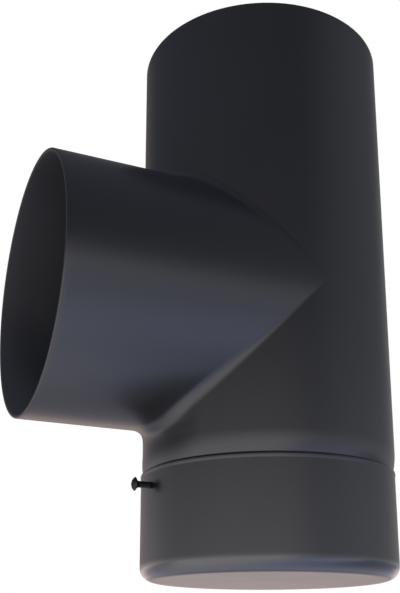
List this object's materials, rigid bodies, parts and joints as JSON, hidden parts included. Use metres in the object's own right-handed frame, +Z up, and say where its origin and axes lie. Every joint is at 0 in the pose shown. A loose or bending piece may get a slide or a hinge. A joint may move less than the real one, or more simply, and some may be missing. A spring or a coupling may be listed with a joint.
{
  "type": "stove pipe tee",
  "caption": "Round stove pipe tee with an equal side branch and rounded crotches, closed below by a removable clean-out cap that a small screw locks.",
  "frame": {"origin": "centre of the cap's flat underside, on the run's axis", "axes": "+Z up along the run's axis towards its open top, -X out along the branch; the screw is in the XZ plane, below the branch"},
  "size_m": [0.2285, 0.154, 0.34],
  "materials": {
    "stove_paint": "satin black heat-resistant paint",
    "screw_black": "blackened steel, slightly glossy"
  },
  "bodies": {
    "tee": {"tee_body": "stove_paint", "spigot": "stove_paint"},
    "cap": {"cap": "stove_paint"},
    "screw": {"lock_screw": "screw_black"}
  },
  "joints": [
    {"name": "cap_slide", "type": "slide", "parent": "tee", "child": "cap", "axis": [0, 0, -1], "range_m": [0, 0.056]},
    {"name": "screw_out", "type": "slide", "parent": "cap", "child": "screw", "axis": [-1, 0, 0], "range_m": [0, 0.004]}
  ]
}
